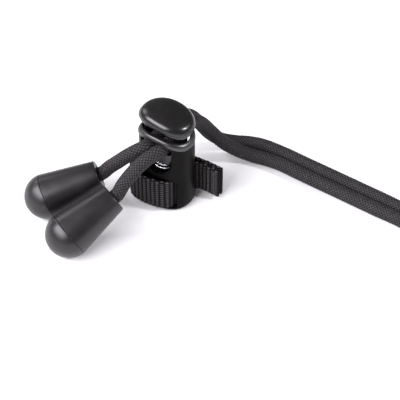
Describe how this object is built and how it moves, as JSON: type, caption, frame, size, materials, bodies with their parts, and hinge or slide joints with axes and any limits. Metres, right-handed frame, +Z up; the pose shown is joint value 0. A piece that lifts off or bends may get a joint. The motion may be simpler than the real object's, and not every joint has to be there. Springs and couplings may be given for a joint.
{
  "type": "cord lock",
  "caption": "Sprung oval cord lock with a webbing loop through its base, a doubled drawcord and two bell-shaped cord ends.",
  "frame": {"origin": "middle of the barrel's flat base", "axes": "+Z up, near the line that the plunger slides along, +X along the barrel's long side, -Y the front, where the cord ends lie"},
  "size_m": [0.1484, 0.0922, 0.0322],
  "materials": {
    "barrel_plastic": "satin",
    "plunger_plastic": "gloss",
    "end_plastic": "matte",
    "spring_steel": "bright",
    "webbing": "ribbed",
    "thread": "twisted",
    "braid": "braided"
  },
  "bodies": {
    "lock": {"barrel": "barrel_plastic", "spring": "spring_steel", "drawcord": "braid", "knot_1": "braid", "knot_2": "braid"},
    "press_cap": {"plunger": "plunger_plastic"},
    "webbing": {"web_loop": "webbing", "web_stitching": "thread"},
    "cord_end_1": {"cord_end_1_shell": "end_plastic", "cord_end_1_cap": "end_plastic"},
    "cord_end_2": {"cord_end_2_shell": "end_plastic", "cord_end_2_cap": "end_plastic"}
  },
  "joints": [
    {"name": "plunger_press", "type": "slide", "parent": "lock", "child": "press_cap", "axis": [-0.0698, 0, -0.9976], "range_m": [0, 0.0016], "stiffness_N_per_m": 2500, "springref_m": -0.002, "deforming": ["spring"]},
    {"name": "webbing_swing", "type": "hinge", "parent": "lock", "child": "webbing", "pos_m": [-0.0072, 0, 0.0063], "axis": [0, 0, 1], "range_deg": [0, 12]},
    {"name": "cord_end_1_spin", "type": "hinge", "parent": "lock", "child": "cord_end_1", "pos_m": [-0.013, -0.0142, 0.0118], "axis": [-0.6332, -0.6992, -0.3321], "continuous": true},
    {"name": "cord_end_2_spin", "type": "hinge", "parent": "lock", "child": "cord_end_2", "pos_m": [-0.0033, -0.0201, 0.0131], "axis": [-0.3549, -0.8378, -0.4149], "continuous": true}
  ]
}
